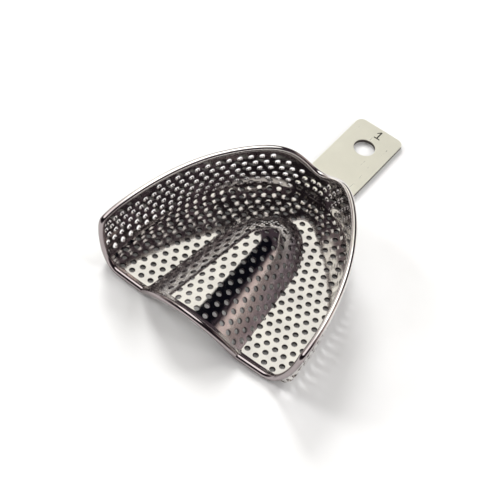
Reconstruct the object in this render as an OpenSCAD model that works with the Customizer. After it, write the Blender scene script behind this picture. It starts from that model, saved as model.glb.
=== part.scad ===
// Perforated metal impression tray for a full upper arch.
//
// One pressed sheet makes the floor, the palatal vault and the flange. A round
// wire is soldered along its whole edge, and a flat strip handle is brazed to
// the front. Units are millimetres. The origin lies on the plane that the tray
// rests on, below the middle of its length and width. +Y points to the front
// teeth and the handle, and +Z is the side that the impression material goes
// in. Places along the arch are counted from its widest station, and placed()
// moves the finished pieces to the origin.

/* [Arch] */
// Half width of the floor, from the middle line to the flange
floor_half_w = 31.9; // [26:0.1:38]
// Length of the floor ahead of the widest station
floor_front = 60.4; // [45:0.1:70]
// Length of the floor behind the widest station
floor_rear = 0.8; // [0.3:0.1:12]
// Roundness of the front of the floor, where 2 is an ellipse
floor_round = 2.29; // [1.6:0.01:3]
// Half width of the rim, to the middle of its wire
rim_half_w = 35; // [28:0.1:42]
// Length of the rim ahead of the widest station
rim_front = 60.7; // [45:0.1:72]
// Length of the rim behind the widest station
rim_rear = 2.8; // [2:0.1:15]
// Roundness of the front of the rim, where 2 is an ellipse
rim_round = 1.76; // [1.5:0.01:3]
// Squareness of the heels of both outlines
heel_round = 4; // [2:0.1:6]
// How far the rear edge bows backward at the middle line
rear_bow = 3.4; // [0:0.1:8]

/* [Flange] */
// Height of the rim wire's middle along the cheeks
cheek_h = 16.7; // [10:0.1:22]
// Height of the rim wire's middle at the canines
front_h = 19.3; // [10:0.1:24]
// Height of the rim wire's middle in the notch for the lip's frenum
notch_h = 11.8; // [6:0.1:20]
// Half width of that notch
notch_w = 8; // [3:0.1:15]
// Outline angle at which the rim starts to drop to the heel
heel_start = 8; // [0:1:40]
// Outline angle at which the rim has reached the floor
heel_end = -56; // [-80:1:-20]

// How soon the flange swings out above the floor, where 1 is a straight wall
flange_belly = 4; // [1:0.5:6]

/* [Vault] */
// Rise of the palatal vault above the floor
vault_h = 9.1; // [4:0.1:16]
// Half width of the vault at the widest station
vault_half_w = 16.4; // [12:0.1:20]
// How much the vault narrows for each millimetre forward
vault_taper = 0.12; // [0:0.01:0.3]
// Place where the front end of the vault starts to close
vault_close = 29.6; // [15:0.1:40]
// Length over which the vault closes
vault_nose = 17.8; // [8:0.1:25]
// Fullness of the vault's section, where 1 is a parabola
vault_full = 1; // [0.5:0.05:1.5]

/* [Sheet and wire] */
// Thickness of the sheet
sheet_t = 0.8; // [0.5:0.1:1.5]
// Diameter of the rim wire
wire_d = 2; // [1.2:0.1:3]
// Diameter of the perforations
hole_d = 1.6; // [1:0.1:2.5]
// Pitch of the staggered perforations
hole_pitch = 3.175; // [2:0.005:5]
// How much the rows of perforations drop toward the cheeks
row_drop = 0.11; // [0:0.01:0.3]
// Plain margin between the wire's middle and the nearest perforations
plain_margin = 2.9; // [1.5:0.1:5]
// Distance from the crease to the middle of the nearest perforations in the floor
crease_margin = 1.3; // [1:0.1:3]
// Distance from the crease to the middle of the lowest perforations in the flange
first_row = 1.9; // [1.2:0.1:3]
// Distance from the rear edge to the middle of the nearest perforations
rear_margin = 2.5; // [1.5:0.1:4]
// How much wider that margin is at the heels
heel_margin = 1.6; // [0:0.1:3]

/* [Handle] */
// Width of the strip
handle_w = 17.5; // [12:0.1:25]
// Thickness of the strip
handle_t = 1.2; // [0.8:0.1:2.5]
// Place of the free end, ahead of the widest station
handle_end = 100; // [80:0.5:120]
// Radius of the two corners of the free end
handle_corner = 2.5; // [0.5:0.1:6]
// Diameter of the hanging hole
hang_d = 7; // [4:0.1:9]
// Distance of the hanging hole's middle from the free end
hang_inset = 10.8; // [7:0.1:20]

// Leg of the braze fillet on top of the handle's root
braze_reach = 2.2; // [1:0.1:4]
// How far the solder at the wire's joint reaches onto the sheet
joint_reach = 2.4; // [1:0.1:4]

/* [Hidden] */
braze_gap = 0.2;                // space between the handle's root and the sheet
braze_steps = 12;               // half the sections along the braze fillet, a degree apart
braze_hollow = [[1, 0], [0.45, 0.28], [0.2, 0.55]]; // its hollow face, in legs outward and upward
wire_r = wire_d / 2;
mid_z = sheet_t / 2;            // middle of the sheet in the floor
edge_gap = 0.9 * wire_r;        // from the wire's middle to the sheet's edge
vault_top = [0, 14];            // plan point where the sheet's ribs start
vault_rings = 7;                // rings of points from there to the vault's foot
wall_rings = [0.06, 0.2, 0.4, 0.7, 1];
front_steps = 24;               // stations from the front to the widest station
rear_steps = 14;                // stations from there to the rear middle
wire_sides = 16;
joint_start = 2;                // station behind the widest one where the wire's joint starts
joint_stations = 4;             // stations that the solder at the wire's joint covers
row_bend = 8;                   // distance from the middle line at which the rows start to drop
nearby = 0.2;                   // distance to the neighbouring points that give a slope
middle_y = (handle_end - rim_rear - rear_bow - wire_r) / 2;

// ---------- outlines ----------

function unit(v) = v / norm(v);
function smooth(u) = let (c = min(max(u, 0), 1)) c * c * (3 - 2 * c);

module placed() translate([0, -middle_y, 0]) children();

// Point of half an outline at angle t, from 90 at the front to -90 at the rear.
function half_outline(t, a, front, rear, round) =
    let (c = max(cos(t), 0), s = sin(t), n = s >= 0 ? round : heel_round)
    [a * pow(c, 2 / n), (s >= 0 ? front : -rear) * pow(abs(s), 2 / n)];

// Vault: 0 in its middle, 1 on the crease where it meets the floor.
function vault_rho2(x, y) =
    pow(x / (vault_half_w - vault_taper * y), 2)
    + pow(max(y - vault_close, 0) / vault_nose, 2);
function vault_z(x, y) = vault_h * pow(max(1 - vault_rho2(x, y), 0), vault_full);

// Share of the vault's height at a plan point of the rear edge.
function rear_share(p) = p.y < 0 ? vault_z(p.x, p.y) / vault_h : 0;
function bowed(p) = [p.x, p.y - rear_bow * rear_share(p)];

function crease_at(t) =
    let (p = bowed(half_outline(t, floor_half_w, floor_front, floor_rear, floor_round)))
    [p.x, p.y, mid_z + vault_z(p.x, p.y)];

function rim_z(t, p) =
    let (side = cheek_h + (front_h - cheek_h) * smooth(p.y / 40),
         notch = p.y > 0 ? (front_h - notch_h) * exp(-pow(p.x / notch_w, 2)) : 0,
         drop = 1 - smooth((heel_start - t) / (heel_start - heel_end)))
    wire_r + (side - notch - wire_r) * drop + vault_h * rear_share(p);

function rim_at(t) =
    let (p = half_outline(t, rim_half_w, rim_front, rim_rear, rim_round), b = bowed(p))
    [b.x, b.y, rim_z(t, p)];

// Outline angles of the right side, front to rear, closer together at the rear.
right_t = concat([for (i = [0:front_steps - 1]) 90 - 90 * i / front_steps],
                 [for (i = [0:rear_steps]) -90 * (1 - pow(1 - i / rear_steps, 2))]);
last = len(right_t) - 1;
function mirrored(pts) = [for (i = [last - 1:-1:1]) [-pts[i].x, pts[i].y, pts[i].z]];
function whole_loop(right) = concat(right, mirrored(right));

crease_loop = whole_loop([for (t = right_t) crease_at(t)]);
rim_loop = whole_loop([for (t = right_t) rim_at(t)]);
stations = len(rim_loop);

// ---------- sheet ----------

// Share of the way from the vault's top to plan point c where the vault ends.
function vault_edge(c, lo = 0, hi = 1, n = 14) =
    n == 0 ? min((lo + hi) / 2, 0.96)
    : let (f = (lo + hi) / 2, p = vault_top + f * ([c.x, c.y] - vault_top))
      vault_rho2(p.x, p.y) < 1 ? vault_edge(c, f, hi, n - 1) : vault_edge(c, lo, f, n - 1);

function plan_point(c, f) =
    let (p = vault_top + f * ([c.x, c.y] - vault_top)) [p.x, p.y, mid_z + vault_z(p.x, p.y)];

// Point at share f of the flange between crease point c and rim point r.
function flange_point(c, r, f) =
    let (out = 1 - pow(1 - f, flange_belly), tall = min(1, (r.z - c.z) / 10),
         g = f + (out - f) * tall)
    [c.x + (r.x - c.x) * g, c.y + (r.y - c.y) * g, c.z + (r.z - c.z) * f];

// Middle of the sheet along one rib: vault, floor, then flange up to the wire.
function rib(k) =
    let (c = crease_loop[k], r = rim_loop[k], e = vault_edge(c),
         wall = r - c, share = 1 - edge_gap / norm(wall))
    concat([for (i = [1:vault_rings]) plan_point(c, e * i / vault_rings)],
           [plan_point(c, 1)],
           [for (f = wall_rings) flange_point(c, r, share * f)]);

ribs = [for (k = [0:stations - 1]) rib(k)];
rings = len(ribs[0]);
function rib_point(k, i) = i < 0 ? plan_point(vault_top, 0) : ribs[(k + stations) % stations][i];

// Direction square to the sheet, toward the impression side, at point i of rib
// k, for the stretch of the rib that ends at point j.
function stretch_normal(k, i, j) =
    unit(cross(rib_point(k, j) - rib_point(k, j - 1), rib_point(k - 1, i) - rib_point(k + 1, i)));

// The same, halved between both stretches, and longer where the sheet bends.
function sheet_normal(k, i) =
    let (a = stretch_normal(k, i, i), b = stretch_normal(k, i, min(i + 1, rings - 1)),
         n = unit(a + b))
    n / max(n * a, 0.6);

function skin(side) = concat([plan_point(vault_top, 0) + [0, 0, side * mid_z]],
    [for (k = [0:stations - 1]) for (i = [0:rings - 1])
        rib_point(k, i) + side * mid_z * sheet_normal(k, i)]);

function at(k, i) = 1 + (k % stations) * rings + i;
skin_faces = concat(
    [for (k = [0:stations - 1]) [0, at(k, 0), at(k + 1, 0)]],
    [for (k = [0:stations - 1]) for (i = [0:rings - 2]) each [
        [at(k, i), at(k, i + 1), at(k + 1, i)],
        [at(k + 1, i), at(k, i + 1), at(k + 1, i + 1)]]]);

module sheet() {
    top = skin(1);
    n = len(top);
    polyhedron(concat(top, skin(-1)), concat(
        skin_faces,
        [for (f = skin_faces) [f[2] + n, f[1] + n, f[0] + n]],
        [for (k = [0:stations - 1]) each let (a = at(k, rings - 1), b = at(k + 1, rings - 1)) [
            [a, b + n, b], [a, a + n, b + n]]]));
}

// ---------- perforations ----------

row_pitch = hole_pitch * sqrt(3) / 2;

// Length of a section of the vault from the middle line to x, and the x that
// has length u. The section is taken as a parabola that steepens by k.
function arc_len(x, k) =
    let (v = k * x) (x * sqrt(1 + v * v) + ln(v + sqrt(1 + v * v)) / k) / 2;
function arc_x(u, k, x, n = 4) =
    n == 0 ? x : arc_x(u, k, x - (arc_len(x, k) - u) / sqrt(1 + k * k * x * x), n - 1);

// Plan point of the sheet that lies u across and v along before pressing.
function pressed(u, v) =
    let (closing = sqrt(max(1 - pow(max(v - vault_close, 0) / vault_nose, 2), 0)),
         w = max((vault_half_w - vault_taper * v) * closing, row_pitch),
         k = 2 * max(vault_z(0, v), 0.01) / (w * w), full = arc_len(w, k), a = abs(u),
         x = a < full ? arc_x(a, k, a * w / full) : w + a - full)
    [sign(u) * x, v - row_drop * (sqrt(x * x + row_bend * row_bend) - row_bend)];

// Square to the floor or vault at plan point p.
function floor_normal(p) =
    unit([vault_z(p.x - nearby, p.y) - vault_z(p.x + nearby, p.y),
          vault_z(p.x, p.y - nearby) - vault_z(p.x, p.y + nearby), 2 * nearby]);

// Place of the rearmost perforations at distance x from the middle line.
function rear_limit(x) =
    rear_margin + heel_margin * pow(abs(x) / floor_half_w, 6)
    - rim_rear - rear_bow * vault_z(x, 0) / vault_h;

// How far out of the floor a plan point lies, where 1 is at the crease's margin.
function floor_reach(p) =
    pow(abs(p.x) / (floor_half_w - crease_margin), floor_round)
    + pow(max(p.y, 0) / (floor_front - crease_margin), floor_round);

floor_rows = ceil(floor_front * 1.1 / row_pitch);
floor_columns = ceil(floor_half_w * 1.1 / hole_pitch);
floor_holes = [
    for (j = [-2:floor_rows]) for (i = [-floor_columns:floor_columns])
        let (p = pressed((i + (j % 2 == 0 ? 0 : 0.5)) * hole_pitch, j * row_pitch))
        if (floor_reach(p) < 1 && p.y > rear_limit(p.x))
            [[p.x, p.y, mid_z + vault_z(p.x, p.y)], floor_normal(p)]];

function loop_point(loop, s) =
    let (i = floor(s), f = s - i) loop[i % stations] * (1 - f) + loop[(i + 1) % stations] * f;
function loop_sums(loop, i = 0, sum = 0, out = []) =
    i > stations ? out
    : loop_sums(loop, i + 1, sum + norm(loop[(i + 1) % stations] - loop[i % stations]),
                concat(out, [[sum, i]]));
middle_loop = (crease_loop + rim_loop) / 2;
along = loop_sums(middle_loop);
around_len = along[stations][0];
wall_columns = round(around_len / hole_pitch);

// Point of the flange at place q round the loops and h up the wall.
function wall_point(q, h) =
    let (c = loop_point(crease_loop, q), r = loop_point(rim_loop, q))
    flange_point(c, r, h / norm(r - c));
function wall_height(q) = norm(loop_point(rim_loop, q) - loop_point(crease_loop, q));

// Middle and direction of the hole there.
function wall_hole(q, h) =
    let (p = wall_point(q, h))
    [p, unit(cross(wall_point(q + nearby, h) - p, wall_point(q, h + nearby) - p))];

wall_rows = ceil(front_h / row_pitch);
wall_holes = [
    for (k = [0:wall_rows]) for (i = [0:wall_columns - 1])
        let (h = first_row + k * row_pitch,
             q = lookup((i + (k % 2 == 0 ? 0.25 : 0.75)) / wall_columns * around_len, along))
        if (h < wall_height(q) - plain_margin) wall_hole(q, h)];

module hole(p, n) {
    tilt = acos(n.z);
    translate(p) rotate([0, tilt, atan2(n.y, n.x)])
        cylinder(d = hole_d, h = 3 * sheet_t, center = true, $fn = 24);
}

module tray_shell() {
    color([0.80, 0.79, 0.76]) difference() {
        sheet();
        for (h = concat(floor_holes, wall_holes)) hole(h[0], h[1]);
    }
}

// ---------- rim wire ----------

// Ring of points around the wire's middle at station k of a closed loop.
function wire_ring(loop, k, r) =
    let (n = len(loop), along = unit(loop[(k + 1) % n] - loop[(k + n - 1) % n]),
         side = unit(cross(along, [0, 0, 1])), up = cross(side, along))
    [for (j = [0:wire_sides - 1]) let (a = 360 * (j + 0.5) / wire_sides)
        loop[k] + r * (cos(a) * side + sin(a) * up)];

module rim_wire() {
    n = stations;
    m = wire_sides;
    color([0.72, 0.70, 0.69])
        polyhedron([for (k = [0:n - 1]) each wire_ring(rim_loop, k, wire_r)],
            [for (k = [0:n - 1]) for (j = [0:m - 1])
                let (a = k * m + j, b = k * m + (j + 1) % m,
                     c = ((k + 1) % n) * m + j, d = ((k + 1) % n) * m + (j + 1) % m)
                each [[a, b, d], [a, d, c]]]);
}

// ---------- handle ----------

// The strip seen from above: square where it meets the tray, rounded at its end.
module strip_outline() {
    root = floor_front - 6;
    difference() {
        union() {
            translate([-handle_w / 2, root]) square([handle_w, handle_end - handle_corner - root]);
            translate([handle_corner - handle_w / 2, root])
                square([handle_w - 2 * handle_corner, handle_end - root]);
            for (side = [-1, 1])
                translate([side * (handle_w / 2 - handle_corner), handle_end - handle_corner])
                    circle(r = handle_corner, $fn = 48);
        }
        polygon([for (i = [-30:30]) let (a = 90 - 1.2 * abs(i), s = sign(i),
            p = half_outline(a, floor_half_w + mid_z, floor_front + mid_z + braze_gap, 1, floor_round))
            [s * p.x, p.y]]);
    }
}

module handle() {
    color([0.84, 0.83, 0.77]) difference() {
        linear_extrude(handle_t) strip_outline();
        translate([0, handle_end - hang_inset, -1]) cylinder(d = hang_d, h = handle_t + 2, $fn = 96);
    }
}

// ---------- brazed and soldered joints ----------

// Closed solid through a row of sections that all have the same number of points.
module swept(sections) {
    n = len(sections);
    m = len(sections[0]);
    polyhedron([for (s = sections) each s], concat(
        [for (i = [1:m - 2]) [0, i, i + 1]],
        [for (k = [0:n - 2]) for (j = [0:m - 1])
            let (a = k * m + j, b = k * m + (j + 1) % m, c = a + m, d = b + m)
            each [[a, c, d], [a, d, b]]],
        [for (i = [1:m - 2]) let (e = (n - 1) * m) [e, e + i + 1, e + i]]));
}

// Section of the fillet between the flange's outer face and the handle, i
// degrees from the middle line. Its legs shorten toward both sides.
function braze_section(i) =
    let (t = 90 - abs(i), x = sign(i) * crease_at(t).x, c = crease_at(t), r = rim_at(t),
         y = c.y + mid_z + braze_gap / 2, leg = braze_reach * (1 - pow(i / braze_steps, 4) / 2),
         top = flange_point(c, r, (handle_t + leg - c.z) / (r.z - c.z)))
    concat([[x, y, braze_gap], [x, y + braze_gap / 2, braze_gap], [x, y + braze_gap / 2, handle_t]],
           [for (h = braze_hollow) [x, y + leg * h[0], handle_t + leg * h[1]]],
           [[x, top.y + mid_z + braze_gap / 10, top.z]]);

module handle_braze() {
    color([0.66, 0.63, 0.60]) swept([for (i = [-braze_steps:braze_steps]) braze_section(i)]);
}

// Section of the solder at station k, from the sheet's edge over the wire's
// inner side and down to the sheet, for a joint that is full where swell is 1.
function joint_section(k, swell) =
    let (edge = rib_point(k, rings - 1), inward = unit(rib_point(k, rings - 2) - edge),
         n = sheet_normal(k, rings - 1), base = edge + n * mid_z,
         climb = 0.55 + 0.35 * swell, reach = joint_reach * swell)
    [base, rim_loop[k] + wire_r * (climb * n + sqrt(1 - climb * climb) * inward),
     base + inward * reach * 0.45 + n * 0.35 * swell, base + inward * reach];

// Fillet of solder between wire and sheet where the wire's two ends meet.
module wire_joint() {
    color([0.58, 0.54, 0.54]) swept([for (i = [0:joint_stations])
        joint_section(front_steps + joint_start + i, 0.3 + 0.7 * sin(180 * i / joint_stations))]);
}

placed() tray_shell();
placed() rim_wire();
placed() handle();
placed() handle_braze();
placed() wire_joint();
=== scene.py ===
"""Looks of the perforated dental impression tray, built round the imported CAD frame."""

import math
from contextlib import contextmanager

import bmesh
import bpy
import numpy as np
from mathutils import Matrix, Vector
from mathutils.bvhtree import BVHTree
from mathutils.kdtree import KDTree


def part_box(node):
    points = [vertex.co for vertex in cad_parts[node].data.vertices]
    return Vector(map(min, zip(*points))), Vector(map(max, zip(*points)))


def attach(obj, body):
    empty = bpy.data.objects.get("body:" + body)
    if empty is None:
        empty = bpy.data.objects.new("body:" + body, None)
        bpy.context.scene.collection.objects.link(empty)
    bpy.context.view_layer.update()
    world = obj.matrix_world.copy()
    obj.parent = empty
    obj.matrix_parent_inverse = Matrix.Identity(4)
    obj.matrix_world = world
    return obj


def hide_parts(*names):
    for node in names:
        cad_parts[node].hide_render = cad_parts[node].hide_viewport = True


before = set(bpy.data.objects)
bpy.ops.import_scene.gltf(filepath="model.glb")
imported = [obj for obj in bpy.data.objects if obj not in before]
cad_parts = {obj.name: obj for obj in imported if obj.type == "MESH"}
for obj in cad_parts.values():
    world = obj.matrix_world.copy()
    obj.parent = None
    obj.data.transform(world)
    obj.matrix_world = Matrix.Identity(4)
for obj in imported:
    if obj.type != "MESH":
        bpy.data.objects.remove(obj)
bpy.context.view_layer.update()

MM = 0.001
RNG = np.random.default_rng(seed=7)

# ---------- sizes of the tray, in millimetres ----------

# Both outlines: half width, reach to front and rear of the widest station, squareness.
FLOOR_HALF_W, FLOOR_FRONT, FLOOR_REAR, FLOOR_ROUND = 31.9, 60.4, 0.8, 2.29
RIM_HALF_W, RIM_FRONT, RIM_REAR, RIM_ROUND = 35.0, 60.7, 2.8, 1.76
HEEL_ROUND = 4.0          # squareness of the heels of both outlines
REAR_BOW = 3.4            # how far the rear edge bows backward
CHEEK_H, FRONT_H, NOTCH_H, NOTCH_W = 16.7, 19.3, 11.8, 8.0     # heights of the rim
FRONT_BEGINS = 40.0       # how far forward the rim reaches its front height
HEEL_START, HEEL_END = 8.0, -56.0     # outline angles between which the rim comes down
FLANGE_BELLY = 4.0        # how soon the flange swings out above the floor
BELLY_FULL_H = 10.0       # height of flange from which that swing is full
VAULT_H, VAULT_HALF_W, VAULT_TAPER = 9.1, 16.4, 0.12
VAULT_CLOSE, VAULT_NOSE = 29.6, 17.8      # where the vault begins to close, and over how far
VAULT_TOP = np.array([0.0, 14.0])         # plan point at which the ribs start
SHEET_T, WIRE_R = 0.8, 1.0
MID_Z = SHEET_T / 2       # middle of the sheet over its underside
EDGE_GAP = 0.9 * WIRE_R   # from the wire's middle to the sheet's edge

HOLE_PITCH = 3.175
ROW_PITCH = HOLE_PITCH * math.sqrt(3) / 2
ROW_DROP, ROW_BEND = 0.11, 8.0     # how much the rows drop toward the cheeks, and from where
PLAIN_MARGIN, CREASE_MARGIN = 2.9, 1.3    # sheet without holes at the wire and the crease
FIRST_ROW = 1.9           # first row of the flange over the crease
REAR_NEARER, CORNER_MARGIN, CORNER_POWER = 0.4, 1.6, 6     # margin of the holes at the rear edge

HANDLE_W, HANDLE_T, HANDLE_END, HANDLE_CORNER = 17.5, 1.2, 100.0, 2.5
HANG_R, HANG_INSET = 3.5, 10.8
BRAZE_GAP, BRAZE_REACH, BRAZE_SPAN = 0.2, 2.2, 12.0

# The arch is counted from its widest station; the frame's handle gives its place.
ARCH_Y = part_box("handle")[1].y / MM - HANDLE_END

# ---------- outlines ----------

FINE_STEPS = 2000         # steps along each part of the outline while it is measured


def smooth(u):
    c = np.clip(u, 0, 1)
    return c * c * (3 - 2 * c)


def half_outline(t, a, front, rear, roundness):
    """Plan points of half an outline at angles t, from 90 at the front to -90."""
    c = np.maximum(np.cos(np.radians(t)), 0)
    s = np.sin(np.radians(t))
    n = np.where(s >= 0, roundness, HEEL_ROUND)
    y = np.where(s >= 0, front, -rear) * np.abs(s) ** (2 / n)
    return a * c ** (2 / n), y


def vault_rho2(x, y):
    width = VAULT_HALF_W - VAULT_TAPER * y
    return (x / width) ** 2 + (np.maximum(y - VAULT_CLOSE, 0) / VAULT_NOSE) ** 2


def vault_z(x, y):
    return VAULT_H * np.maximum(1 - vault_rho2(x, y), 0)


def rear_share(x, y):
    return np.where(y < 0, vault_z(x, y) / VAULT_H, 0)


def crease_at(t):
    """Middle of the sheet where the floor turns up into the flange."""
    x, y = half_outline(t, FLOOR_HALF_W, FLOOR_FRONT, FLOOR_REAR, FLOOR_ROUND)
    y = y - REAR_BOW * rear_share(x, y)
    return np.stack([x, y, MID_Z + vault_z(x, y)], -1)


def rim_at(t):
    """Middle of the rim wire."""
    x, y = half_outline(t, RIM_HALF_W, RIM_FRONT, RIM_REAR, RIM_ROUND)
    side = CHEEK_H + (FRONT_H - CHEEK_H) * smooth(y / FRONT_BEGINS)
    notch = np.where(y > 0, (FRONT_H - NOTCH_H) * np.exp(-((x / NOTCH_W) ** 2)), 0)
    drop = 1 - smooth((HEEL_START - t) / (HEEL_START - HEEL_END))
    z = WIRE_R + (side - notch - WIRE_R) * drop + VAULT_H * rear_share(x, y)
    return np.stack([x, y - REAR_BOW * rear_share(x, y), z], -1)


def lengths(points):
    """Running length along a row of points."""
    steps = np.linalg.norm(np.diff(points, axis=0), axis=1)
    return np.concatenate([[0], np.cumsum(steps)])


def even_angles(count):
    """Outline angles of the right side, front to rear, evenly spaced along it."""
    rear = -90 * (1 - (1 - np.linspace(0, 1, FINE_STEPS)) ** 2)
    t = np.concatenate([np.linspace(90, 0, FINE_STEPS)[:-1], rear])
    run = lengths((crease_at(t) + rim_at(t)) / 2)
    return np.interp(np.linspace(0, run[-1], count + 1), run, t)


def whole_loop(right):
    """The loop round the tray from its right side, both ends of which lie in the middle."""
    left = right[-2:0:-1] * np.array([-1, 1, 1])
    return np.concatenate([right, left])


def placed(points):
    """Arch millimetres to the frame's metres."""
    return (np.asarray(points) + np.array([0, ARCH_Y, 0])) * MM


# ---------- meshes ----------


def in_scene(name, data):
    """New object of the scene with this data."""
    made = bpy.data.objects.new(name, data)
    bpy.context.scene.collection.objects.link(made)
    return made


def new_piece(name, verts, faces, materials):
    mesh = bpy.data.meshes.new(name)
    mesh.from_pydata([tuple(v) for v in verts], [], [tuple(f) for f in faces])
    for material in materials:
        mesh.materials.append(material)
    mesh.validate()
    return in_scene(name, mesh)


@contextmanager
def reshaped(mesh):
    """Opens a mesh for bmesh work, and writes the result back."""
    made = bmesh.new()
    made.from_mesh(mesh)
    yield made
    made.to_mesh(mesh)
    made.free()


def evaluated_mesh(piece):
    """Mesh of an object as its modifiers or its curve's settings make it."""
    graph = bpy.context.evaluated_depsgraph_get()
    return bpy.data.meshes.new_from_object(piece.evaluated_get(graph))


def carve(piece, cutter):
    """Takes the cutter out of the piece, and removes the cutter."""
    cut = piece.modifiers.new("cut", "BOOLEAN")
    cut.operation = "DIFFERENCE"
    cut.solver = "MANIFOLD"
    cut.object = cutter
    carved, whole = evaluated_mesh(piece), piece.data
    piece.modifiers.clear()
    piece.data = carved
    bpy.data.meshes.remove(whole)
    bpy.data.objects.remove(cutter)


def outward(piece):
    """Turns all faces of a closed piece outward."""
    with reshaped(piece.data) as made:
        bmesh.ops.recalc_face_normals(made, faces=made.faces)


def shade(piece, angle):
    """Smooth shading, broken at edges that turn by more than so many degrees."""
    for polygon in piece.data.polygons:
        polygon.use_smooth = True
    piece.data.set_sharp_from_angle(angle=math.radians(angle))


# ---------- the sheet ----------

STATIONS = 210            # stations along the right side, front to rear
DENSE = 60                # points on each stretch of a rib before it is rounded
CREASE_R = 0.34           # half the length over which a crease is rounded
VAULT_POINTS, FLOOR_POINTS, WALL_POINTS = 22, 16, 22
WALL_EVEN = 0.2           # share of even spacing in the points up the flange
VAULT_SHARE = 0.97        # most of a rib's way to the crease that the vault may take
HALVINGS = 20

ANGLES = even_angles(STATIONS)
CREASE = whole_loop(crease_at(ANGLES))
RIM = whole_loop(rim_at(ANGLES))


def flange_point(c, r, f):
    """Point at share f of the flange between crease point c and rim point r."""
    out = 1 - (1 - f) ** FLANGE_BELLY
    g = f + (out - f) * min(1, (r[2] - c[2]) / BELLY_FULL_H)
    return np.array([c[0] + (r[0] - c[0]) * g, c[1] + (r[1] - c[1]) * g,
                     c[2] + (r[2] - c[2]) * f])


def vault_edge(c):
    """Share of the way from the vault's top to plan point c where the vault ends."""
    low, high = 0.0, 1.0
    for _ in range(HALVINGS):
        f = (low + high) / 2
        p = VAULT_TOP + f * (c[:2] - VAULT_TOP)
        low, high = (f, high) if vault_rho2(p[0], p[1]) < 1 else (low, f)
    return min(low, VAULT_SHARE)


def rib(c, r):
    """One rib of the sheet's middle, from the vault's top over the floor to the wire."""
    edge = vault_edge(c)
    f = np.concatenate([np.linspace(0, edge, DENSE), np.linspace(edge, 1, DENSE)[1:]])
    plan = VAULT_TOP + f[:, None] * (c[:2] - VAULT_TOP)
    base = np.column_stack([plan, MID_Z + vault_z(plan[:, 0], plan[:, 1])])
    share = 1 - EDGE_GAP / np.linalg.norm(r - c)
    wall = np.array([flange_point(c, r, g) for g in np.linspace(0, share, DENSE)[1:]])
    return np.concatenate([base, wall])


def rounded(points):
    """The rib with its creases rounded, at places that crowd together at the creases."""
    step = points[1] - points[0]
    first = points[0] - step * 2 * CREASE_R / np.linalg.norm(step)
    step = points[-1] - points[-2]
    last = points[-1] + step * 2 * CREASE_R / np.linalg.norm(step)
    long = np.concatenate([[first], points, [last]])
    run = lengths(long)
    area = np.concatenate([[np.zeros(3)], np.cumsum(
        (long[1:] + long[:-1]) / 2 * np.diff(run)[:, None], axis=0)])
    start, foot, crease, end = run[1], run[DENSE], run[2 * DENSE - 1], run[-2]

    def total(s):
        """Integral of the rib from its start to length s."""
        k = np.clip(np.searchsorted(run, s, side="right") - 1, 0, len(run) - 2)
        part = s - run[k]
        rise = (long[k + 1] - long[k]) / (run[k + 1] - run[k])[:, None]
        return area[k] + long[k] * part[:, None] + rise * (part ** 2)[:, None] / 2

    u = np.linspace(0, 1, VAULT_POINTS + 1)
    vault = start + (foot - start) * np.sin(u * math.pi / 2)
    u = np.linspace(0, 1, FLOOR_POINTS + 1)[1:]
    floor = foot + (crease - foot) * (1 - np.cos(u * math.pi)) / 2
    u = np.linspace(0, 1, WALL_POINTS + 1)[1:]
    wall = crease + (end - crease) * (
        WALL_EVEN * u + (1 - WALL_EVEN) * (1 - np.cos(u * math.pi / 2)))
    s = np.concatenate([vault, floor, wall])
    return (total(s + CREASE_R) - total(s - CREASE_R)) / (2 * CREASE_R)


def unit(v):
    return v / np.maximum(np.linalg.norm(v, axis=-1, keepdims=True), 1e-12)


def sheet_grid():
    """Middle points and impression-side normals of the sheet, rib by rib."""
    grid = np.array([rounded(rib(c, r)) for c, r in zip(CREASE, RIM)])
    along = np.gradient(grid, axis=1)
    around = np.roll(grid, 1, axis=0) - np.roll(grid, -1, axis=0)
    normals = unit(np.cross(along, around))
    grid[:, 0] = grid[:, 0].mean(0)
    normals[:, 0] = unit(normals[:, 1].mean(0))
    return grid, normals


GRID, NORMALS = sheet_grid()


def sheet_mesh(materials):
    """Closed sheet of two skins and the edge between them, with the normal of each vertex."""
    columns, rows = GRID.shape[:2]
    top = GRID + MID_Z * NORMALS
    under = GRID - MID_Z * NORMALS
    per_skin = 1 + columns * (rows - 1)

    def flat(skin):
        return np.concatenate([skin[:1, 0], skin[:, 1:].reshape(-1, 3)])

    def at(k, i, skin=0):
        return skin * per_skin + (0 if i == 0 else 1 + (k % columns) * (rows - 1) + i - 1)

    verts = np.concatenate([flat(top), flat(under)])
    normals = np.concatenate([flat(NORMALS), -flat(NORMALS)])
    faces = []
    for k in range(columns):
        faces.append((at(k, 0), at(k + 1, 1), at(k, 1)))
        faces.append((at(k, 0, 1), at(k, 1, 1), at(k + 1, 1, 1)))
        for i in range(1, rows - 1):
            quad = [(k, i), (k + 1, i), (k + 1, i + 1), (k, i + 1)]
            faces.append([at(*q) for q in quad])
            faces.append([at(*q, 1) for q in reversed(quad)])
        e = rows - 1
        faces.append((at(k, e), at(k + 1, e), at(k + 1, e, 1), at(k, e, 1)))
    return new_piece("perforated_shell", placed(verts), faces, materials), placed(verts), normals


# ---------- perforations ----------

SPARE = 1.1               # share of the floor over which holes are tried
PROBE = 0.2               # how far from a hole the sheet's slope is measured
LEAST_RISE, NEWTON_STEPS = 0.01, 4
ROW_SHIFTS = (0.25, 0.75)     # start of the even and the odd rows round the flange, in holes


def arc_len(x, k):
    """Length from 0 to x along a parabola whose slope is k x."""
    v = k * x
    return (x * math.sqrt(1 + v * v) + math.asinh(v) / k) / 2


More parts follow.
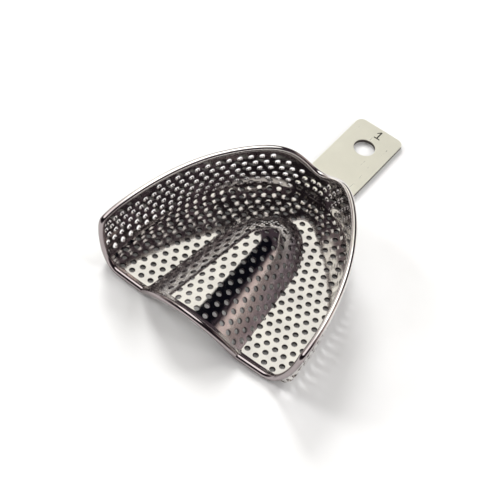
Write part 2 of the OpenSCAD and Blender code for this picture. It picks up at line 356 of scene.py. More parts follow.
def pressed(u, v):
    """Plan point of the sheet that lies u across and v along before pressing."""
    closing = math.sqrt(max(1 - (max(v - VAULT_CLOSE, 0) / VAULT_NOSE) ** 2, 0))
    w = max((VAULT_HALF_W - VAULT_TAPER * v) * closing, ROW_PITCH)
    k = 2 * max(float(vault_z(0, v)), LEAST_RISE) / (w * w)
    full, a = arc_len(w, k), abs(u)
    if a < full:
        x = a * w / full
        for _ in range(NEWTON_STEPS):
            x -= (arc_len(x, k) - a) / math.sqrt(1 + (k * x) ** 2)
    else:
        x = w + a - full
    return math.copysign(x, u), v - ROW_DROP * (math.sqrt(x * x + ROW_BEND ** 2) - ROW_BEND)


def in_floor(x, y):
    """True if a hole there keeps its distance from the crease and the rear edge."""
    reach = ((abs(x) / (FLOOR_HALF_W - CREASE_MARGIN)) ** FLOOR_ROUND
             + (max(y, 0) / (FLOOR_FRONT - CREASE_MARGIN)) ** FLOOR_ROUND)
    rear = (-RIM_REAR - REAR_BOW * float(vault_z(x, 0)) / VAULT_H + PLAIN_MARGIN - REAR_NEARER
            + CORNER_MARGIN * (abs(x) / FLOOR_HALF_W) ** CORNER_POWER)
    return reach < 1 and y > rear


def floor_holes():
    """Centre and axis of each hole of the floor and the vault."""
    holes = []
    for j in range(-2, math.ceil(FLOOR_FRONT * SPARE / ROW_PITCH) + 1):
        columns = math.ceil(FLOOR_HALF_W * SPARE / HOLE_PITCH)
        for i in range(-columns, columns + 1):
            x, y = pressed((i + (0.5 if j % 2 else 0)) * HOLE_PITCH, j * ROW_PITCH)
            if not in_floor(x, y):
                continue
            fall_x = float(vault_z(x - PROBE, y) - vault_z(x + PROBE, y))
            fall_y = float(vault_z(x, y - PROBE) - vault_z(x, y + PROBE))
            holes.append((np.array([x, y, MID_Z + float(vault_z(x, y))]),
                          unit(np.array([fall_x, fall_y, 2 * PROBE]))))
    return holes


def wall_holes():
    """Centre and axis of each hole of the flange, in rows along the crease."""
    closed = np.concatenate([(CREASE + RIM) / 2, (CREASE + RIM)[:1] / 2])
    run = lengths(closed)
    count = len(CREASE)
    columns = round(run[-1] / HOLE_PITCH)

    def loop_point(loop, q):
        i = int(q)
        return loop[i % count] * (1 - (q - i)) + loop[(i + 1) % count] * (q - i)

    def wall_point(q, h):
        c, r = loop_point(CREASE, q), loop_point(RIM, q)
        return flange_point(c, r, h / np.linalg.norm(r - c))

    holes = []
    for k in range(math.ceil(FRONT_H / ROW_PITCH) + 1):
        h = FIRST_ROW + k * ROW_PITCH
        for i in range(columns):
            q = np.interp((i + ROW_SHIFTS[k % 2]) / columns * run[-1], run,
                          np.arange(count + 1))
            tall = np.linalg.norm(loop_point(RIM, q) - loop_point(CREASE, q))
            if h < tall - PLAIN_MARGIN:
                p = wall_point(q, h)
                across = np.cross(wall_point(q + 0.5, h) - p, wall_point(q, h + PROBE) - p)
                holes.append((p, unit(across)))
    return holes


PUNCH_SIDES = 22
PUNCH_PROFILE = [(0.93, -1.0), (0.93, -0.42), (0.80, -0.29),
                 (0.80, 0.29), (0.93, 0.42), (0.93, 1.0)]     # radius, height
NO_AXIS = [0.3, 1.0, 0.2]     # a direction that no hole faces

# A face lies in a hole if it is near its axis and not across it.
HOLE_RANGE, HOLE_WALL_R, ACROSS = 1.5, 0.925, 0.85
FLARED, FLARE_LEAN = 0.3, 0.9     # facing from which a hole's wall is its flare, and its lean
FLOOR_FACING = 0.7                # upward share of the axis of a floor hole
SKIN, FLANGE_HOLE, FLOOR_HOLE = range(3)      # materials of the shell


def punches(holes):
    """One mesh of closed punches, each flared where it leaves the sheet."""
    verts, faces = [], []
    turn = np.linspace(0, 2 * math.pi, PUNCH_SIDES, endpoint=False)
    for centre, normal in holes:
        side = unit(np.cross(normal, NO_AXIS))
        other = np.cross(normal, side)
        start = len(verts)
        for radius, height in PUNCH_PROFILE:
            ring = (centre + height * normal + radius * (
                np.cos(turn)[:, None] * side + np.sin(turn)[:, None] * other))
            verts.extend(placed(ring))
        for level in range(len(PUNCH_PROFILE) - 1):
            for j in range(PUNCH_SIDES):
                a = start + level * PUNCH_SIDES + j
                b = start + level * PUNCH_SIDES + (j + 1) % PUNCH_SIDES
                faces.append((a, b, b + PUNCH_SIDES, a + PUNCH_SIDES))
        faces.append([start + j for j in reversed(range(PUNCH_SIDES))])
        last = start + (len(PUNCH_PROFILE) - 1) * PUNCH_SIDES
        faces.append([last + j for j in range(PUNCH_SIDES)])
    return new_piece("punches", verts, faces, [])


def triangles_of(mesh):
    mesh.calc_loop_triangles()
    return np.array([t.vertices[:] for t in mesh.loop_triangles])


def barycentric(p, a, b, c):
    """Shares of the corners a, b and c in point p of their triangle."""
    v0, v1, v2 = b - a, c - a, p - a
    d00, d01, d11 = v0 @ v0, v0 @ v1, v1 @ v1
    d20, d21 = v2 @ v0, v2 @ v1
    scale = d00 * d11 - d01 * d01
    if abs(scale) < 1e-30:
        return np.array([1.0, 0.0, 0.0])
    v = (d11 * d20 - d01 * d21) / scale
    w = (d00 * d21 - d01 * d20) / scale
    return np.clip([1 - v - w, v, w], 0, 1)


def finish_shell(piece, holes, smooth_tris, verts, normals):
    """Normals of the unpunched sheet for its skins, and round walls in its holes."""
    mesh = piece.data
    tree = BVHTree.FromPolygons([Vector(v) for v in verts], [tuple(t) for t in smooth_tris])
    centres = KDTree(len(holes))
    for i, (centre, _) in enumerate(holes):
        centres.insert(Vector(placed(centre)), i)
    centres.balance()

    skin = np.zeros((len(mesh.vertices), 3))
    for i, vertex in enumerate(mesh.vertices):
        where, _, face, _ = tree.find_nearest(vertex.co)
        corners = smooth_tris[face]
        a, b, c = verts[corners]
        shares = barycentric(np.array(where), a, b, c)
        skin[i] = shares @ normals[corners]
    skin = unit(skin)

    loops = np.zeros((len(mesh.loops), 3))
    for polygon in mesh.polygons:
        polygon.use_smooth = True
        middle = np.array(polygon.center)
        _, hole, distance = centres.find(polygon.center)
        centre, axis = holes[hole]
        centre = placed(centre)
        in_hole = False
        facing = abs(polygon.normal @ Vector(axis))
        if distance < HOLE_RANGE * MM:
            out = (middle - centre) - ((middle - centre) @ axis) * axis
            in_hole = np.linalg.norm(out) < HOLE_WALL_R * MM and facing < ACROSS
        # the walls of the floor's holes take the dark material, painted shade
        kind = FLOOR_HOLE if abs(axis[2]) > FLOOR_FACING else FLANGE_HOLE
        polygon.material_index = kind if in_hole else SKIN
        for loop in polygon.loop_indices:
            vertex = mesh.loops[loop].vertex_index
            if in_hole:
                d = np.array(mesh.vertices[vertex].co) - centre
                height = d @ axis
                inward = unit(height * axis - d)
                flare = 0.0 if facing < FLARED else FLARE_LEAN
                loops[loop] = unit(inward + math.copysign(flare, height) * axis)
            else:
                loops[loop] = skin[vertex]
    mesh.normals_split_custom_set([tuple(n) for n in loops])


def make_shell(materials):
    piece, verts, normals = sheet_mesh(materials)
    smooth_tris = triangles_of(piece.data)
    holes = floor_holes() + wall_holes()
    carve(piece, punches(holes))
    finish_shell(piece, holes, smooth_tris, verts, normals)
    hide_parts("tray_shell")
    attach(piece, "root")


# ---------- materials ----------

HEEL_SHADE_Y = (-42.0, -33.0)    # painted shade on the metal round the heels: full behind the first, none before the second
# Upward share of slopes: none, all, all, none of the effect; first the painted shade tone, then
# the roughness where the press has stretched the sheet.
SLOPE_SHADE_SPAN, DRAWN_GLOSS = (0.42, 0.58, 0.69, 0.80), (0.42, 0.60, 0.78, 0.90)
COLOUR_A, COLOUR_B = 6, 7     # the colour inputs of a Mix node


def node(tree, kind, **settings):
    made = tree.nodes.new(kind)
    for key, value in settings.items():
        setattr(made, key, value)
    return made


def fill(tree, socket, value):
    """Gives an input a number, a plain colour or another node's output."""
    if isinstance(value, (int, float)):
        socket.default_value = value
    elif isinstance(value, tuple):
        socket.default_value = (*value, 1)
    else:
        tree.links.new(value, socket)


def calculated(tree, operation, *values):
    made = node(tree, "ShaderNodeMath", operation=operation)
    for socket, value in zip(made.inputs, values):
        fill(tree, socket, value)
    return made.outputs[0]


def mixed(tree, share, one, two):
    """Colour between one and two, each a plain colour or an output."""
    mix = node(tree, "ShaderNodeMix", data_type="RGBA")
    fill(tree, mix.inputs["Factor"], share)
    fill(tree, mix.inputs[COLOUR_A], one)
    fill(tree, mix.inputs[COLOUR_B], two)
    return mix.outputs[2]


def noise(tree, coords, scale, detail=3.0, rough=0.5, stretch=(1, 1, 1)):
    """A noise texture of so many waves per millimetre, stretched along the axes."""
    mapping = node(tree, "ShaderNodeMapping")
    mapping.inputs["Scale"].default_value = [s / MM for s in stretch]
    tree.links.new(coords, mapping.inputs["Vector"])
    texture = node(tree, "ShaderNodeTexNoise")
    for name, number in (("Scale", scale), ("Detail", detail), ("Roughness", rough)):
        texture.inputs[name].default_value = number
    tree.links.new(mapping.outputs["Vector"], texture.inputs["Vector"])
    return texture.outputs["Fac"]


def spread(tree, value, low, high, start=0.35, end=0.65, **settings):
    """Spreads a value from start to end, by default the middle of a noise, over low to high."""
    ranged = node(tree, "ShaderNodeMapRange", **settings)
    limits = ("From Min", start), ("From Max", end), ("To Min", low), ("To Max", high)
    for name, number in limits:
        ranged.inputs[name].default_value = number
    tree.links.new(value, ranged.inputs["Value"])
    return ranged.outputs["Result"]


def bump(tree, height, depth, below=None):
    made = node(tree, "ShaderNodeBump")
    made.inputs["Strength"].default_value = 1.0
    made.inputs["Distance"].default_value = depth * MM
    tree.links.new(height, made.inputs["Height"])
    if below is not None:
        tree.links.new(below, made.inputs["Normal"])
    return made.outputs["Normal"]


def on_slopes(tree, steep, less_steep, flat, flatter):
    """1 on slopes whose upward share lies between less_steep and flat, fading outside."""
    facing = node(tree, "ShaderNodeSeparateXYZ")
    tree.links.new(node(tree, "ShaderNodeNewGeometry").outputs["Normal"], facing.inputs[0])
    return calculated(tree, "MULTIPLY",
                      spread(tree, facing.outputs["Z"], 0, 1, steep, less_steep),
                      spread(tree, facing.outputs["Z"], 1, 0, flat, flatter))


def metal(name, light, dark, rough, waves, grain, scratch=(1, 1, 1), patch=0.12, bare=1.0,
          heel_shade=None, drawn=None):
    """Plated metal: tone patches, uneven gloss, a faint waviness and a fine grain.

    rough is (lowest, highest) roughness; waves and grain are (per mm, depth in mm);
    bare is the share of mirroring metal, the rest of the surface scatters the light.
    tarnish is painted shade: a darker tone that the metal takes on round the heels, where it
    mirrors shaded surroundings. drawn holds the painted shade of moderate slopes, a darker tone,
    and the roughness added to them where the press has stretched the sheet.
    """
    material = bpy.data.materials.new(name)
    material.use_nodes = True
    tree = material.node_tree
    tree.nodes.clear()
    coords = node(tree, "ShaderNodeTexCoord").outputs["Object"]
    shader = node(tree, "ShaderNodeBsdfPrincipled")
    shader.inputs["Metallic"].default_value = bare
    tone = spread(tree, noise(tree, coords, patch, 5.0, 0.6), 0, 1)
    colour = mixed(tree, tone, light, dark)
    gloss = spread(tree, noise(tree, coords, patch * 4, 6.0, 0.7, scratch), *rough)
    if heel_shade:
        # painted shade: the colour darkens toward the heels, for the shaded surroundings they
        # mirror
        place = node(tree, "ShaderNodeSeparateXYZ")
        tree.links.new(coords, place.inputs[0])
        heel = spread(tree, place.outputs["Y"], 1, 0, *(y * MM for y in HEEL_SHADE_Y))
        colour = mixed(tree, heel, colour, heel_shade)
    if drawn:
        slope_shade_tone, added_rough = drawn
        # painted shade: moderate slopes take a darker tone
        colour = mixed(tree, on_slopes(tree, *SLOPE_SHADE_SPAN), colour, slope_shade_tone)
        gloss = calculated(tree, "MULTIPLY_ADD", on_slopes(tree, *DRAWN_GLOSS), added_rough, gloss)
    tree.links.new(colour, shader.inputs["Base Color"])
    tree.links.new(gloss, shader.inputs["Roughness"])
    wavy = bump(tree, noise(tree, coords, waves[0], 2.0), waves[1])
    fine = bump(tree, noise(tree, coords, grain[0], 4.0, 0.6, scratch), grain[1], wavy)
    tree.links.new(fine, shader.inputs["Normal"])
    output = node(tree, "ShaderNodeOutputMaterial")
    tree.links.new(shader.outputs["BSDF"], output.inputs["Surface"])
    return material


# ---------- rim wire ----------

WIRE_SIDES = 28
WIRE_SHARE = 0.978        # keeps the round wire inside the CAD's many-sided one


def loop_frame(loop):
    """Two directions square to a closed loop, at each of its points."""
    along = unit(np.roll(loop, -1, axis=0) - np.roll(loop, 1, axis=0))
    side = unit(np.cross(along, [0, 0, 1]))
    return side, np.cross(side, along)


def tube_faces(rings, sides, closed):
    """Faces of a tube from rings of points, closed on itself or capped at its ends."""
    faces = []
    for k in range(rings if closed else rings - 1):
        for j in range(sides):
            a, b = k * sides + j, k * sides + (j + 1) % sides
            c, d = ((k + 1) % rings) * sides + j, ((k + 1) % rings) * sides + (j + 1) % sides
            faces.append((a, b, d, c))
    if not closed:
        faces.append(list(reversed(range(sides))))
        faces.append([(rings - 1) * sides + j for j in range(sides)])
    return faces


def make_wire(material):
    side, up = loop_frame(RIM)
    turn = np.linspace(0, 2 * math.pi, WIRE_SIDES, endpoint=False)
    verts = []
    for centre, s, u in zip(RIM, side, up):
        verts.extend(placed(centre + WIRE_R * WIRE_SHARE * (
            np.cos(turn)[:, None] * s + np.sin(turn)[:, None] * u)))
    piece = new_piece("round_rim_wire", verts, tube_faces(len(RIM), WIRE_SIDES, True), [material])
    outward(piece)
    shade(piece, 60)
    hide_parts("rim_wire")
    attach(piece, "root")
    return piece


# ---------- handle ----------

EDGE_ROUND = 0.18         # rounding of the strip's edges
ROOT_ANGLE, ROOT_SHORT = 36, 0.35     # half the arc its root follows, and its straight ends
ROOT_POINTS, CORNER_POINTS, HANG_SIDES = 41, 13, 72
FLAT_BAND = 0.002         # how near a face lies to the strip's top or bottom to count as flat
SIDE_FACING = 0.5         # upward share of a normal below which a face is a cut edge
MERGE_ANGLE = 0.3         # faces that turn by less, in degrees, are one flat face
WELD = 1e-7               # corners nearer than this, in metres, are one corner

STAMP_DEPTH = 0.22
FIGURE_AT = (0.7, 4.8)    # foot of the size number: across, and from the free end
FIGURE_TALL, FIGURE_LINE = 3.6, 0.42
FIGURE_REACH, FIGURE_BELOW = 2.0, 0.4     # room round the figure in which its faces are sought
FIGURE_SKIN = 0.02        # and how far below the strip's top
PLAIN, STAMPED, CUT_EDGE = range(3)       # materials of the strip


def strip_outline():
    """Plan of the strip: square where it meets the tray, rounded at its free end."""
    half, root = HANDLE_W / 2, []
    for angle in np.linspace(1, -1, ROOT_POINTS) * ROOT_ANGLE:
        x, y = half_outline(90 - abs(angle), FLOOR_HALF_W + MID_Z,
                            FLOOR_FRONT + MID_Z + BRAZE_GAP, 1, FLOOR_ROUND)
        x = math.copysign(float(x), angle)
        if abs(x) < half:
            root.append((x, float(y)))
    x, y = half, root[0][1] - ROOT_SHORT
    points = [(-x, y), *reversed(root), (x, y)]
    for side, first in ((1, 0), (-1, 90)):
        cx, cy = side * (half - HANDLE_CORNER), HANDLE_END - HANDLE_CORNER
        for a in np.radians(np.linspace(first, first + 90, CORNER_POINTS)):
            points.append((cx + HANDLE_CORNER * math.cos(a), cy + HANDLE_CORNER * math.sin(a)))
    return points


def circle_points(cx, cy, radius, count):
    """Points round a circle, clockwise, against the direction of the strip's outline."""
    return [(cx + radius * math.cos(a), cy - radius * math.sin(a))
            for a in np.linspace(0, 2 * math.pi, count, endpoint=False)]


def plate(name, outlines, low, high, rounding, material):
    """Flat plate between two heights, with holes where an outline lies inside another."""
    curve = bpy.data.curves.new(name, "CURVE")
    curve.dimensions = "2D"
    curve.fill_mode = "BOTH"
    curve.bevel_depth = rounding * MM
    curve.bevel_resolution = 2
    curve.offset = -rounding * MM
    curve.extrude = ((high - low) / 2 - rounding) * MM
    for outline in outlines:
        spline = curve.splines.new("POLY")
        spline.points.add(len(outline) - 1)
        for point, (x, y) in zip(spline.points, outline):
            point.co = (x * MM, (y + ARCH_Y) * MM, 0, 1)
        spline.use_cyclic_u = True
    drawn = in_scene(name + "_curve", curve)
    mesh = evaluated_mesh(drawn)
    bpy.data.objects.remove(drawn)
    mesh.transform(Matrix.Translation((0, 0, (low + high) / 2 * MM)))
    mesh.materials.clear()
    mesh.materials.append(material)
    piece = in_scene(name, mesh)
    with reshaped(mesh) as made:
        bmesh.ops.remove_doubles(made, verts=made.verts, dist=WELD)
        bmesh.ops.recalc_face_normals(made, faces=made.faces)
    return piece


def numeral_one(x, y, tall, thick):
    """Outline of a plain figure 1 with a flag and a foot, its foot's middle at x, y."""
    foot = flag = tall * 0.30
    t = thick / 2
    return [(x - foot, y), (x + foot, y), (x + foot, y + thick), (x + t, y + thick),
            (x + t, y + tall), (x - t, y + tall), (x - flag, y + tall - flag),
            (x - flag, y + tall - flag - thick * 1.2), (x - t, y + tall - thick * 1.5),
            (x - t, y + thick), (x - foot, y + thick)]


def retriangulate(piece):
    """Merges the flat faces and splits them again without slivers."""
    with reshaped(piece.data) as made:
        bmesh.ops.dissolve_limit(made, angle_limit=math.radians(MERGE_ANGLE),
                                 verts=made.verts, edges=made.edges)
        bmesh.ops.triangulate(made, faces=made.faces,
                              quad_method="BEAUTY", ngon_method="BEAUTY")


def true_flats(piece, top):
    """Gives the faces of the strip's bottom and top exact normals and its own material."""
    mesh = piece.data
    normals = [corner.vector.copy() for corner in mesh.corner_normals]
    for polygon in mesh.polygons:
        heights = [mesh.vertices[v].co.z for v in polygon.vertices]
        for level, up in ((0, -1), (top * MM, 1)):
            if all(abs(z - level) < FLAT_BAND * MM for z in heights):
                polygon.material_index = PLAIN
                for loop in polygon.loop_indices:
                    normals[loop] = Vector((0, 0, up))
    mesh.normals_split_custom_set([tuple(n) for n in normals])


def make_handle(material, stamped, edge):
    hole = circle_points(0, HANDLE_END - HANG_INSET, HANG_R, HANG_SIDES)
    piece = plate("strip_handle", [strip_outline(), hole], 0, HANDLE_T, EDGE_ROUND, material)
    x, y = FIGURE_AT[0], HANDLE_END - FIGURE_AT[1]
    figure = numeral_one(x, y, FIGURE_TALL, FIGURE_LINE)
    carve(piece, plate("stamp", [figure], HANDLE_T - STAMP_DEPTH, HANDLE_T + 1, 0.0, material))
    retriangulate(piece)
    piece.data.materials.append(stamped)
    piece.data.materials.append(edge)
    for polygon in piece.data.polygons:
        cx, cy, cz = polygon.center / MM
        in_figure = abs(cx - x) < FIGURE_REACH and cy > ARCH_Y + y - FIGURE_BELOW
        if in_figure and 0.5 * HANDLE_T < cz < HANDLE_T - FIGURE_SKIN:
            polygon.material_index = STAMPED
        # cut edges take the dark material, painted shade on the strip's sides
        elif abs(polygon.normal.z) < SIDE_FACING:
            polygon.material_index = CUT_EDGE
    shade(piece, 32)
    true_flats(piece, HANDLE_T)
    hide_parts("handle")
    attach(piece, "root")


# ---------- brazed and soldered joints ----------

OVERLAP = 0.05            # how far the braze reaches into the metal that it joins
BRAZE_SECTIONS, BRAZE_WOBBLE, BRAZE_LOW = 61, 0.12, 0.25
BRAZE_HOLLOW = (0.25, 0.2)    # shares of the foot: how far out and up the hollow's middle is
BRAZE_POINTS, JOINT_POINTS = 9, 8     # points across the free face of each

JOINT_ANGLES, JOINT_REACH = (-24.0, -60.0), 2.4
JOINT_ENDS, JOINT_SWELL = 0.25, 0.7       # size of its ends, and how soon it swells
JOINT_CLIMB = (0.55, 0.38)    # how high it stands on the wire: at least, and with the swell
JOINT_SUNK, JOINT_HOLLOW = 0.02, (0.1, 0.2)
JOINT_IN_SHEET, JOINT_IN_WIRE, JOINT_IN_FOOT = 0.25, 0.6, 0.15     # how deep it is rooted
INNER_POINT = -4          # point of a rib toward which the joint spreads, counted from its edge


def lumps(count, size, step=3):
    """A soft random row of numbers, about size high."""
    coarse = RNG.normal(0, size, count // step + 3)
    return np.interp(np.arange(count) / step, np.arange(len(coarse)), coarse)


def bowed(start, bend, end, count):
    """Points along a curve from start to end that is drawn toward bend."""
    return [(1 - u) ** 2 * start + 2 * u * (1 - u) * bend + u * u * end
            for u in np.linspace(0, 1, count)]


def make_braze(material):
    """Hollow fillet between the flange's outer face and the top of the handle."""
    wobble = lumps(BRAZE_SECTIONS, BRAZE_WOBBLE)
    verts = []
    for n, i in enumerate(np.linspace(-BRAZE_SPAN, BRAZE_SPAN, BRAZE_SECTIONS)):
        t = np.array(90 - abs(i))
        c, r = crease_at(t), rim_at(t)
        x, y = math.copysign(1, i) * c[0], c[1] + MID_Z + BRAZE_GAP / 2
        taper = 1 - (abs(i) / BRAZE_SPAN) ** 4 / 2
        foot = BRAZE_REACH * taper + wobble[n] * taper
        top = flange_point(c, r, (HANDLE_T + foot - c[2]) / (r[2] - c[2]))
        start = np.array([y + foot, HANDLE_T])
        end = np.array([top[1] + MID_Z - OVERLAP, top[2]])
        bend = np.array([y, HANDLE_T]) + foot * np.array(BRAZE_HOLLOW)
        section = [(y - OVERLAP, BRAZE_LOW), (y + BRAZE_GAP / 2, BRAZE_LOW),
                   (y + BRAZE_GAP / 2, HANDLE_T - OVERLAP), (y + foot, HANDLE_T - OVERLAP),
                   *bowed(start, bend, end, BRAZE_POINTS)]
        verts.extend(placed([(x, sy, sz) for sy, sz in section]))
    faces = tube_faces(BRAZE_SECTIONS, len(section), False)
    piece = new_piece("braze_fillet", verts, faces, [material])
    outward(piece)
    shade(piece, 50)
    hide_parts("handle_braze")
    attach(piece, "root")


def make_solder(material):
    """Smooth fillet of solder on the right heel, where the wire's two ends meet."""
    inside = [k for k in range(STATIONS + 1) if JOINT_ANGLES[1] <= ANGLES[k] <= JOINT_ANGLES[0]]
    verts = []
    for k in inside:
        s = (k - inside[0]) / (len(inside) - 1)
        swell = JOINT_ENDS + (1 - JOINT_ENDS) * math.sin(math.pi * s) ** JOINT_SWELL
        edge, n = GRID[k, -1], NORMALS[k, -1]
        inward = unit(GRID[k, INNER_POINT] - edge)
        climb = JOINT_CLIMB[0] + JOINT_CLIMB[1] * swell
        wire = RIM[k] + WIRE_R * (climb * n + math.sqrt(1 - climb * climb) * inward)
        reach = inward * JOINT_REACH * swell
        foot = edge + (MID_Z - JOINT_SUNK) * n + reach
        bend = edge + (MID_Z + JOINT_HOLLOW[0]) * n + reach * JOINT_HOLLOW[1]
        section = [edge + (MID_Z - JOINT_IN_SHEET) * n, RIM[k] + JOINT_IN_WIRE * WIRE_R * n,
                   *bowed(wire, bend, foot, JOINT_POINTS), foot - JOINT_IN_FOOT * n]
        verts.extend(placed(section))
    faces = tube_faces(len(inside), len(section), False)
    piece = new_piece("solder_fillet", verts, faces, [material])
    outward(piece)
    shade(piece, 50)
    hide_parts("wire_joint")
    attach(piece, "root")


# ---------- stage ----------

# Tones of the room, as the metal mirrors them.
ROOM_DIM, ROOM_LIGHT = (0.008, 0.006, 0.008), (0.150, 0.112, 0.136)
ROOM_CLUTTER, CLUTTER_RANGE = 34.0, (0.43, 0.66)     # fineness and contrast of the unlit room
OVERHEAD = (0.72, 0.70, 0.68)
SOFTBOX = (1.10, 1.09, 1.02)
BACKDROP = (0.96, 0.96, 0.95)
REAR_DARK = (0.018, 0.014, 0.017)
FRONT_DARK = (0.060, 0.045, 0.055)
FRONT_BLACK = (0.004, 0.004, 0.007)
SIDE_GREY = (0.80, 0.655, 0.615)
LEFT_LOW = (0.50, 0.42, 0.40)
LEFT_GAP = (0.20, 0.160, 0.172)

# Where they are: tone, azimuths, elevations and softness of the border, all in degrees.
OVERHEAD_FROM, OVERHEAD_SOFT = 68, 6
BACKDROP_TO, BACKDROP_SOFT = 11, 6
PATCHES = (
    (REAR_DARK, (92, 200), (30, 66), 12),
    (REAR_DARK, (-200, -128), (30, 66), 12),
    (FRONT_DARK, (-60, 20), (14, 66), 8),
    (SIDE_GREY, (40, 56), (14, 37), 8),
    (FRONT_BLACK, (-10, 39), (40, 66), 5),
    (LEFT_GAP, (-104, -64), (22, 50), 14),
    (LEFT_LOW, (-98, -62), (4, 27), 14),
    (SOFTBOX, (-94, -62), (44, 66), 7),
)
# The main light starts at an azimuth, and ends at one that moves on with the elevation.
SOFTBOX_LEFT, SOFTBOX_LEFT_SOFT = -70, 10
SOFTBOX_HEIGHTS, SOFTBOX_HEIGHTS_SOFT = (12, 66), 5
SOFTBOX_SLANT, SOFTBOX_EDGE, SOFTBOX_EDGE_SOFT = 1.086, -73.0, 4

# Low lamps all round that light the paper only: azimuth, elevation, strength.
LAMPS = ((-45, 30, 2.6), (-100, 26, 1.7), (12, 26, 1.3), (70, 24, 1.1), (-160, 24, 0.4),
         (135, 24, 0.4))
LAMP_ANGLE = 22.0
# A broad light from above that only the rim wire receives.
WIRE_LAMP, WIRE_LAMP_ANGLE = (-30, 80, 1.1), 56.0
LAMP_DISTANCE = 0.5       # in metres, for the eye only

FLOOR_HALF, FLOOR_DROP = 3.0, 0.00002     # in metres
PAPER_TONES, PAPER_ROUGH = ((0.86, 0.86, 0.85), (0.88, 0.88, 0.875)), 0.9


def direction(azimuth, elevation):
    """Unit vector toward an azimuth, clockwise from the handle's side, and an elevation."""
    az, el = math.radians(azimuth), math.radians(elevation)
    return Vector((math.sin(az) * math.cos(el), math.cos(az) * math.cos(el), math.sin(el)))


def sun(name, azimuth, elevation, strength, angle):
    """Distant lamp of so many degrees across that shines from a direction."""
    data = bpy.data.lights.new(name, "SUN")
    data.energy = strength
    data.angle = math.radians(angle)
    lamp = in_scene(name, data)
    toward = direction(azimuth, elevation)
    lamp.rotation_euler = toward.to_track_quat("Z", "Y").to_euler()
    lamp.location = toward * LAMP_DISTANCE
    return lamp


def make_lamps(wire):
    for i, lamp in enumerate(LAMPS):
        sun("lamp_%d" % i, *lamp, LAMP_ANGLE).visible_glossy = False
    lit = bpy.data.collections.new("lit_by_wire_lamp")
    lit.objects.link(wire)
    sun("wire_lamp", *WIRE_LAMP, WIRE_LAMP_ANGLE).light_linking.receiver_collection = lit


def make_floor():
    """Plain pale paper under the tray."""
    half = FLOOR_HALF
    verts = [(-half, -half, 0), (half, -half, 0), (half, half, 0), (-half, half, 0)]
    material = bpy.data.materials.new("paper")
    material.use_nodes = True
    tree = material.node_tree
    shader = tree.nodes["Principled BSDF"]
    shader.inputs["Roughness"].default_value = PAPER_ROUGH
    coords = node(tree, "ShaderNodeTexCoord").outputs["Object"]
    tone = spread(tree, noise(tree, coords, 0.05, 2.0), 0, 1)
    tree.links.new(mixed(tree, tone, *PAPER_TONES), shader.inputs["Base Color"])
    floor = new_piece("paper_sweep", verts, [(0, 1, 2, 3)], [material])
    floor.location.z = -FLOOR_DROP


def make_world():
    """Soft studio light: patches of a given brightness by direction."""
    world = bpy.data.worlds.new("studio")
    bpy.context.scene.world = world
    world.use_nodes = True
    tree = world.node_tree
    tree.nodes.clear()
    toward = node(tree, "ShaderNodeTexCoord").outputs["Generated"]
    split = node(tree, "ShaderNodeSeparateXYZ")
    tree.links.new(toward, split.inputs[0])
    angle = calculated(tree, "ARCTAN2", split.outputs["X"], split.outputs["Y"])
    azimuth = calculated(tree, "MULTIPLY", angle, math.degrees(1))
    angle = calculated(tree, "ARCSINE", split.outputs["Z"])
    height = calculated(tree, "MULTIPLY", angle, math.degrees(1))

    def above(value, edge, soft):
        """0 below the edge and 1 above it, over soft degrees."""
        return spread(tree, value, 0, 1, edge - soft / 2, edge + soft / 2,
                      interpolation_type="SMOOTHSTEP")

    def below(value, edge, soft):
        return calculated(tree, "SUBTRACT", 1.0, above(value, edge, soft))

    def both(one, two):
        return calculated(tree, "MULTIPLY", one, two)

    def band(value, low, high, soft):
        return both(above(value, low, soft), below(value, high, soft))

    clutter = node(tree, "ShaderNodeTexNoise")
    clutter.inputs["Scale"].default_value = ROOM_CLUTTER
    clutter.inputs["Detail"].default_value = 3.0
    tree.links.new(toward, clutter.inputs["Vector"])
    share = spread(tree, clutter.outputs["Fac"], 0, 1, *CLUTTER_RANGE)
    look = mixed(tree, share, ROOM_DIM, ROOM_LIGHT)
    look = mixed(tree, above(height, OVERHEAD_FROM, OVERHEAD_SOFT), look, OVERHEAD)
    for tone, azimuths, heights, soft in PATCHES:
        there = both(band(azimuth, *azimuths, soft), band(height, *heights, soft))
        look = mixed(tree, there, look, tone)
    shift = calculated(tree, "MULTIPLY", height, SOFTBOX_SLANT)
    slanted = calculated(tree, "SUBTRACT", azimuth, shift)
    across = both(above(azimuth, SOFTBOX_LEFT, SOFTBOX_LEFT_SOFT),
                  below(slanted, SOFTBOX_EDGE, SOFTBOX_EDGE_SOFT))
    lit = both(band(height, *SOFTBOX_HEIGHTS, SOFTBOX_HEIGHTS_SOFT), across)
    look = mixed(tree, lit, look, SOFTBOX)
    look = mixed(tree, below(height, BACKDROP_TO, BACKDROP_SOFT), look, BACKDROP)
    background = node(tree, "ShaderNodeBackground")
    tree.links.new(look, background.inputs["Color"])
    background.inputs["Strength"].default_value = 1.0
    output = node(tree, "ShaderNodeOutputWorld")
    tree.links.new(background.outputs[0], output.inputs["Surface"])


CAMERA_AZ, CAMERA_EL, CAMERA_ROLL = 26.88, 51.22, 12.32     # azimuth from -y toward +x
CAMERA_AIM = (0.56, -22.67, 10.0)      # point on the view's middle line, in frame mm
CAMERA_DISTANCE = 382.8
CAMERA_LENS, SENSOR_WIDTH = 95.0, 36.0
CLIP_START, CLIP_END = 0.01, 20.0


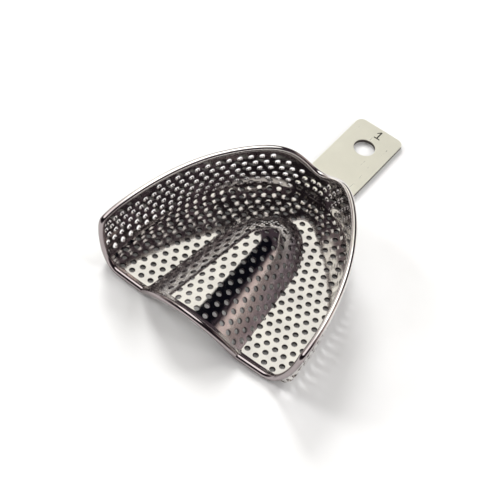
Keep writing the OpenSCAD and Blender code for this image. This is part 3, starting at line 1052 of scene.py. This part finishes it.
def make_camera():
    az, el, roll = (math.radians(a) for a in (CAMERA_AZ, CAMERA_EL, CAMERA_ROLL))
    back = Vector((math.sin(az) * math.cos(el), -math.cos(az) * math.cos(el), math.sin(el)))
    right = Vector((math.cos(az), math.sin(az), 0))
    up = back.cross(right)
    rolled_right = math.cos(roll) * right + math.sin(roll) * up
    rolled_up = -math.sin(roll) * right + math.cos(roll) * up
    data = bpy.data.cameras.new("camera")
    data.lens = CAMERA_LENS
    data.sensor_width = SENSOR_WIDTH
    data.clip_start, data.clip_end = CLIP_START, CLIP_END
    camera = in_scene("camera", data)
    turn = Matrix((rolled_right, rolled_up, back)).transposed().to_4x4()
    place = Vector(CAMERA_AIM) * MM + back * CAMERA_DISTANCE * MM
    camera.matrix_world = Matrix.Translation(place) @ turn
    bpy.context.scene.camera = camera


# ---------- build ----------

# the plate's darker slope tone is painted shade
plate_metal = metal("nickel_plate", (0.80, 0.775, 0.74), (0.68, 0.655, 0.64),
                    (0.04, 0.11), (0.16, 0.06), (2.6, 0.0026),
                    drawn=((0.43, 0.360, 0.390), 0.14))
wall_metal = metal("punched_edge", (0.76, 0.73, 0.71), (0.62, 0.59, 0.58),
                   (0.12, 0.26), (0.8, 0.008), (9.0, 0.002))
# painted shade: the walls of the floor's holes are coloured dark, as the shade inside them
pit_shade_metal = metal("dull_punched_edge_painted_shade", (0.24, 0.215, 0.215), (0.13, 0.115, 0.12),
                  (0.30, 0.50), (0.8, 0.008), (9.0, 0.003))
# the wire's darker heel tone is painted shade
wire_metal = metal("nickel_wire", (0.86, 0.83, 0.79), (0.72, 0.68, 0.665),
                   (0.05, 0.14), (0.25, 0.014), (3.0, 0.002), heel_shade=(0.36, 0.316, 0.318))
strip_metal = metal("satin_strip", (0.775, 0.76, 0.645), (0.74, 0.725, 0.615),
                    (0.27, 0.35), (0.10, 0.006), (12.0, 0.002), scratch=(1, 0.12, 1), bare=0.45)
# the stamped figure is coloured dark and rough
stamp_metal = metal("stamped_figure", (0.20, 0.18, 0.16), (0.12, 0.11, 0.10),
                    (0.45, 0.6), (1.0, 0.006), (12.0, 0.003))
# painted shade: the strip's cut edges and hang hole wall are coloured dark, as the shade on them
edge_shade_metal = metal("cut_edge_painted_shade", (0.15, 0.13, 0.12), (0.09, 0.08, 0.078),
                   (0.30, 0.45), (0.8, 0.006), (8.0, 0.003))
braze_metal = metal("plated_braze", (0.72, 0.70, 0.67), (0.55, 0.53, 0.51),
                    (0.16, 0.34), (0.7, 0.05), (6.0, 0.004))
solder_metal = metal("plated_solder", (0.66, 0.62, 0.62), (0.50, 0.47, 0.48),
                     (0.20, 0.34), (0.5, 0.04), (6.0, 0.003))

make_shell([plate_metal, wall_metal, pit_shade_metal])
rim_wire = make_wire(wire_metal)
make_handle(strip_metal, stamp_metal, edge_shade_metal)
make_braze(braze_metal)
make_solder(solder_metal)
make_floor()
make_world()
make_lamps(rim_wire)
make_camera()
bpy.context.scene.view_settings.view_transform = "Standard"
